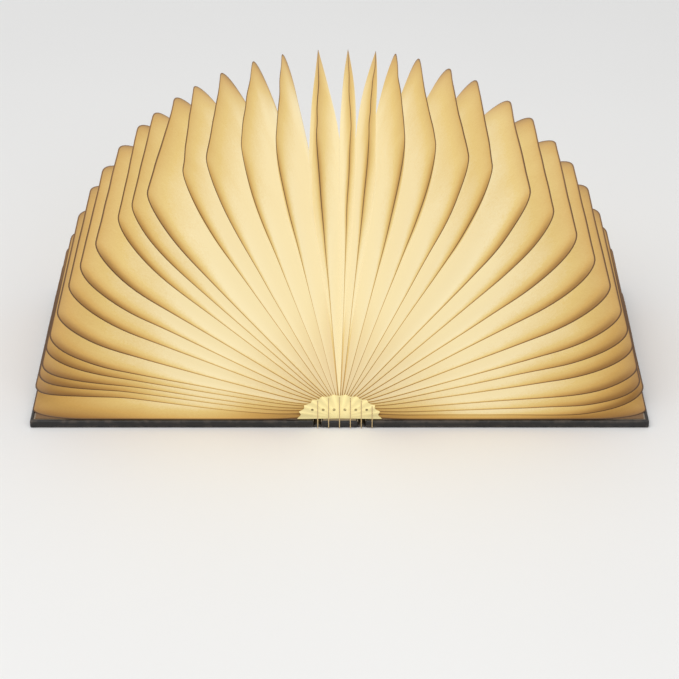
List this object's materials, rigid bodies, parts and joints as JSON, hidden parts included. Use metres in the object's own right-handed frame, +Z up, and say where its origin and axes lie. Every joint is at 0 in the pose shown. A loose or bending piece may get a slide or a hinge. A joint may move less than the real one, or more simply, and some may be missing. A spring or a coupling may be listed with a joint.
{
  "type": "folding book lamp",
  "caption": "Hard-cover book that opens flat into a lamp: a half-round fan of lit accordion paper stands over its spine.",
  "frame": {"origin": "on the table, under the middle of the spine: the centre of the open book's footprint", "axes": "+X across the two covers, towards the right cover; +Y along the spine, away from the viewer; +Z up"},
  "size_m": [0.368, 0.1818, 0.1777],
  "materials": {
    "cover_cloth": "black leatherette with a fine grain",
    "board": "grey-brown bookbinding board",
    "endpaper": "brown endpaper",
    "page_paper": "fibrous translucent paper lit from inside",
    "fold_end": "cream pasted paper lit from inside",
    "thread": "waxed cream thread",
    "white_plastic": "frosted white",
    "circuit_board": "lacquered circuit board",
    "led": "warm white light",
    "battery": "silver pouch",
    "steel": "nickel plated",
    "black_plastic": "moulded"
  },
  "bodies": {
    "spine": {"spine_board": "board", "spine_cloth": "cover_cloth", "light_channel": "white_plastic", "diffuser": "white_plastic", "led_board": "circuit_board", "leds": "led", "channel_screws": "steel", "battery": "battery", "charge_board": "circuit_board", "charge_socket": "steel", "lid_sensor": "black_plastic", "binding_band": "fold_end", "near_fold_end": "fold_end", "far_fold_end": "fold_end", "binding_threads": "thread", "valley_folds": "page_paper", "left_hinge_cloth": "cover_cloth", "right_hinge_cloth": "cover_cloth"},
    "left_cover": {"left_cover_board": "board", "left_cover_cloth": "cover_cloth", "left_endpaper": "endpaper", "left_magnets": "steel"},
    "right_cover": {"right_cover_board": "board", "right_cover_cloth": "cover_cloth", "right_endpaper": "endpaper", "right_magnets": "steel"},
    "left_page_01": {"left_page_01": "page_paper"},
    "left_page_02": {"left_page_02": "page_paper"},
    "left_page_03": {"left_page_03": "page_paper"},
    "left_page_04": {"left_page_04": "page_paper"},
    "left_page_05": {"left_page_05": "page_paper"},
    "left_page_06": {"left_page_06": "page_paper"},
    "left_page_07": {"left_page_07": "page_paper"},
    "left_page_08": {"left_page_08": "page_paper"},
    "left_page_09": {"left_page_09": "page_paper"},
    "left_page_10": {"left_page_10": "page_paper"},
    "left_page_11": {"left_page_11": "page_paper"},
    "left_page_12": {"left_page_12": "page_paper"},
    "left_page_13": {"left_page_13": "page_paper"},
    "left_page_14": {"left_page_14": "page_paper"},
    "left_page_15": {"left_page_15": "page_paper"},
    "left_page_16": {"left_page_16": "page_paper"},
    "left_page_17": {"left_page_17": "page_paper"},
    "right_page_01": {"right_page_01": "page_paper"},
    "right_page_02": {"right_page_02": "page_paper"},
    "right_page_03": {"right_page_03": "page_paper"},
    "right_page_04": {"right_page_04": "page_paper"},
    "right_page_05": {"right_page_05": "page_paper"},
    "right_page_06": {"right_page_06": "page_paper"},
    "right_page_07": {"right_page_07": "page_paper"},
    "right_page_08": {"right_page_08": "page_paper"},
    "right_page_09": {"right_page_09": "page_paper"},
    "right_page_10": {"right_page_10": "page_paper"},
    "right_page_11": {"right_page_11": "page_paper"},
    "right_page_12": {"right_page_12": "page_paper"},
    "right_page_13": {"right_page_13": "page_paper"},
    "right_page_14": {"right_page_14": "page_paper"},
    "right_page_15": {"right_page_15": "page_paper"},
    "right_page_16": {"right_page_16": "page_paper"},
    "right_page_17": {"right_page_17": "page_paper"}
  },
  "joints": [
    {"name": "left_cover_hinge", "type": "hinge", "parent": "spine", "child": "left_cover", "pos_m": [-0.01147, 0, 0.0052], "axis": [0, 1, 0], "range_deg": [0, 90], "deforming": ["left_hinge_cloth", "valley_folds", "near_fold_end", "far_fold_end", "binding_threads"]},
    {"name": "right_cover_hinge", "type": "hinge", "parent": "spine", "child": "right_cover", "pos_m": [0.01147, 0, 0.0052], "axis": [0, -1, 0], "range_deg": [0, 90], "deforming": ["right_hinge_cloth", "valley_folds", "near_fold_end", "far_fold_end", "binding_threads"]},
    {"name": "left_page_01_fold", "type": "hinge", "parent": "spine", "child": "left_page_01", "pos_m": [-0.01089, 0, 0.007], "axis": [0, 1, 0], "range_deg": [0, 88.8]},
    {"name": "left_page_02_fold", "type": "hinge", "parent": "spine", "child": "left_page_02", "pos_m": [-0.01023, 0, 0.00861], "axis": [0, 1, 0], "range_deg": [0, 86.77]},
    {"name": "left_page_03_fold", "type": "hinge", "parent": "spine", "child": "left_page_03", "pos_m": [-0.00957, 0, 0.00975], "axis": [0, 1, 0], "range_deg": [0, 84.06]},
    {"name": "left_page_04_fold", "type": "hinge", "parent": "spine", "child": "left_page_04", "pos_m": [-0.00891, 0, 0.01065], "axis": [0, 1, 0], "range_deg": [0, 79.89]},
    {"name": "left_page_05_fold", "type": "hinge", "parent": "spine", "child": "left_page_05", "pos_m": [-0.00825, 0, 0.0114], "axis": [0, 1, 0], "range_deg": [0, 75.68]},
    {"name": "left_page_06_fold", "type": "hinge", "parent": "spine", "child": "left_page_06", "pos_m": [-0.00759, 0, 0.01204], "axis": [0, 1, 0], "range_deg": [0, 71.84]},
    {"name": "left_page_07_fold", "type": "hinge", "parent": "spine", "child": "left_page_07", "pos_m": [-0.00693, 0, 0.01258], "axis": [0, 1, 0], "range_deg": [0, 66.37]},
    {"name": "left_page_08_fold", "type": "hinge", "parent": "spine", "child": "left_page_08", "pos_m": [-0.00627, 0, 0.01304], "axis": [0, 1, 0], "range_deg": [0, 60.2]},
    {"name": "left_page_09_fold", "type": "hinge", "parent": "spine", "child": "left_page_09", "pos_m": [-0.00561, 0, 0.01344], "axis": [0, 1, 0], "range_deg": [0, 55.47]},
    {"name": "left_page_10_fold", "type": "hinge", "parent": "spine", "child": "left_page_10", "pos_m": [-0.00495, 0, 0.01379], "axis": [0, 1, 0], "range_deg": [0, 50.35]},
    {"name": "left_page_11_fold", "type": "hinge", "parent": "spine", "child": "left_page_11", "pos_m": [-0.00429, 0, 0.01408], "axis": [0, 1, 0], "range_deg": [0, 43.61]},
    {"name": "left_page_12_fold", "type": "hinge", "parent": "spine", "child": "left_page_12", "pos_m": [-0.00363, 0, 0.01432], "axis": [0, 1, 0], "range_deg": [0, 37.64]},
    {"name": "left_page_13_fold", "type": "hinge", "parent": "spine", "child": "left_page_13", "pos_m": [-0.00297, 0, 0.01452], "axis": [0, 1, 0], "range_deg": [0, 32.52]},
    {"name": "left_page_14_fold", "type": "hinge", "parent": "spine", "child": "left_page_14", "pos_m": [-0.00231, 0, 0.01468], "axis": [0, 1, 0], "range_deg": [0, 26.07]},
    {"name": "left_page_15_fold", "type": "hinge", "parent": "spine", "child": "left_page_15", "pos_m": [-0.00165, 0, 0.01479], "axis": [0, 1, 0], "range_deg": [0, 19.02]},
    {"name": "left_page_16_fold", "type": "hinge", "parent": "spine", "child": "left_page_16", "pos_m": [-0.00099, 0, 0.01487], "axis": [0, 1, 0], "range_deg": [0, 12.2]},
    {"name": "left_page_17_fold", "type": "hinge", "parent": "spine", "child": "left_page_17", "pos_m": [-0.00033, 0, 0.01491], "axis": [0, 1, 0], "range_deg": [0, 4.3]},
    {"name": "right_page_01_fold", "type": "hinge", "parent": "spine", "child": "right_page_01", "pos_m": [0.01089, 0, 0.007], "axis": [0, -1, 0], "range_deg": [0, 88.8]},
    {"name": "right_page_02_fold", "type": "hinge", "parent": "spine", "child": "right_page_02", "pos_m": [0.01023, 0, 0.00861], "axis": [0, -1, 0], "range_deg": [0, 86.71]},
    {"name": "right_page_03_fold", "type": "hinge", "parent": "spine", "child": "right_page_03", "pos_m": [0.00957, 0, 0.00975], "axis": [0, -1, 0], "range_deg": [0, 83.24]},
    {"name": "right_page_04_fold", "type": "hinge", "parent": "spine", "child": "right_page_04", "pos_m": [0.00891, 0, 0.01065], "axis": [0, -1, 0], "range_deg": [0, 79.73]},
    {"name": "right_page_05_fold", "type": "hinge", "parent": "spine", "child": "right_page_05", "pos_m": [0.00825, 0, 0.0114], "axis": [0, -1, 0], "range_deg": [0, 75.51]},
    {"name": "right_page_06_fold", "type": "hinge", "parent": "spine", "child": "right_page_06", "pos_m": [0.00759, 0, 0.01204], "axis": [0, -1, 0], "range_deg": [0, 69.59]},
    {"name": "right_page_07_fold", "type": "hinge", "parent": "spine", "child": "right_page_07", "pos_m": [0.00693, 0, 0.01258], "axis": [0, -1, 0], "range_deg": [0, 65.23]},
    {"name": "right_page_08_fold", "type": "hinge", "parent": "spine", "child": "right_page_08", "pos_m": [0.00627, 0, 0.01304], "axis": [0, -1, 0], "range_deg": [0, 58.58]},
    {"name": "right_page_09_fold", "type": "hinge", "parent": "spine", "child": "right_page_09", "pos_m": [0.00561, 0, 0.01344], "axis": [0, -1, 0], "range_deg": [0, 52.23]},
    {"name": "right_page_10_fold", "type": "hinge", "parent": "spine", "child": "right_page_10", "pos_m": [0.00495, 0, 0.01379], "axis": [0, -1, 0], "range_deg": [0, 46.75]},
    {"name": "right_page_11_fold", "type": "hinge", "parent": "spine", "child": "right_page_11", "pos_m": [0.00429, 0, 0.01408], "axis": [0, -1, 0], "range_deg": [0, 38.92]},
    {"name": "right_page_12_fold", "type": "hinge", "parent": "spine", "child": "right_page_12", "pos_m": [0.00363, 0, 0.01432], "axis": [0, -1, 0], "range_deg": [0, 33.13]},
    {"name": "right_page_13_fold", "type": "hinge", "parent": "spine", "child": "right_page_13", "pos_m": [0.00297, 0, 0.01452], "axis": [0, -1, 0], "range_deg": [0, 26.44]},
    {"name": "right_page_14_fold", "type": "hinge", "parent": "spine", "child": "right_page_14", "pos_m": [0.00231, 0, 0.01468], "axis": [0, -1, 0], "range_deg": [0, 19.39]},
    {"name": "right_page_15_fold", "type": "hinge", "parent": "spine", "child": "right_page_15", "pos_m": [0.00165, 0, 0.01479], "axis": [0, -1, 0], "range_deg": [0, 13.76]},
    {"name": "right_page_16_fold", "type": "hinge", "parent": "spine", "child": "right_page_16", "pos_m": [0.00099, 0, 0.01487], "axis": [0, -1, 0], "range_deg": [0, 7.36]},
    {"name": "right_page_17_fold", "type": "hinge", "parent": "spine", "child": "right_page_17", "pos_m": [0.00033, 0, 0.01491], "axis": [0, -1, 0], "range_deg": [0, 1.8]}
  ],
  "couplings": [
    {"joint": "left_page_01_fold", "follows": "left_cover_hinge", "ratio": 0.98667},
    {"joint": "left_page_02_fold", "follows": "left_cover_hinge", "ratio": 0.96408},
    {"joint": "left_page_03_fold", "follows": "left_cover_hinge", "ratio": 0.93395},
    {"joint": "left_page_04_fold", "follows": "left_cover_hinge", "ratio": 0.88766},
    {"joint": "left_page_05_fold", "follows": "left_cover_hinge", "ratio": 0.84085},
    {"joint": "left_page_06_fold", "follows": "left_cover_hinge", "ratio": 0.7982},
    {"joint": "left_page_07_fold", "follows": "left_cover_hinge", "ratio": 0.73749},
    {"joint": "left_page_08_fold", "follows": "left_cover_hinge", "ratio": 0.66891},
    {"joint": "left_page_09_fold", "follows": "left_cover_hinge", "ratio": 0.61636},
    {"joint": "left_page_10_fold", "follows": "left_cover_hinge", "ratio": 0.55945},
    {"joint": "left_page_11_fold", "follows": "left_cover_hinge", "ratio": 0.48454},
    {"joint": "left_page_12_fold", "follows": "left_cover_hinge", "ratio": 0.41827},
    {"joint": "left_page_13_fold", "follows": "left_cover_hinge", "ratio": 0.36131},
    {"joint": "left_page_14_fold", "follows": "left_cover_hinge", "ratio": 0.2897},
    {"joint": "left_page_15_fold", "follows": "left_cover_hinge", "ratio": 0.21137},
    {"joint": "left_page_16_fold", "follows": "left_cover_hinge", "ratio": 0.13551},
    {"joint": "left_page_17_fold", "follows": "left_cover_hinge", "ratio": 0.047778},
    {"joint": "right_page_01_fold", "follows": "right_cover_hinge", "ratio": 0.98667},
    {"joint": "right_page_02_fold", "follows": "right_cover_hinge", "ratio": 0.96347},
    {"joint": "right_page_03_fold", "follows": "right_cover_hinge", "ratio": 0.92486},
    {"joint": "right_page_04_fold", "follows": "right_cover_hinge", "ratio": 0.88585},
    {"joint": "right_page_05_fold", "follows": "right_cover_hinge", "ratio": 0.83897},
    {"joint": "right_page_06_fold", "follows": "right_cover_hinge", "ratio": 0.77323},
    {"joint": "right_page_07_fold", "follows": "right_cover_hinge", "ratio": 0.72482},
    {"joint": "right_page_08_fold", "follows": "right_cover_hinge", "ratio": 0.65085},
    {"joint": "right_page_09_fold", "follows": "right_cover_hinge", "ratio": 0.58036},
    {"joint": "right_page_10_fold", "follows": "right_cover_hinge", "ratio": 0.5195},
    {"joint": "right_page_11_fold", "follows": "right_cover_hinge", "ratio": 0.43243},
    {"joint": "right_page_12_fold", "follows": "right_cover_hinge", "ratio": 0.36807},
    {"joint": "right_page_13_fold", "follows": "right_cover_hinge", "ratio": 0.29377},
    {"joint": "right_page_14_fold", "follows": "right_cover_hinge", "ratio": 0.21547},
    {"joint": "right_page_15_fold", "follows": "right_cover_hinge", "ratio": 0.15293},
    {"joint": "right_page_16_fold", "follows": "right_cover_hinge", "ratio": 0.081811},
    {"joint": "right_page_17_fold", "follows": "right_cover_hinge", "ratio": 0.02}
  ]
}
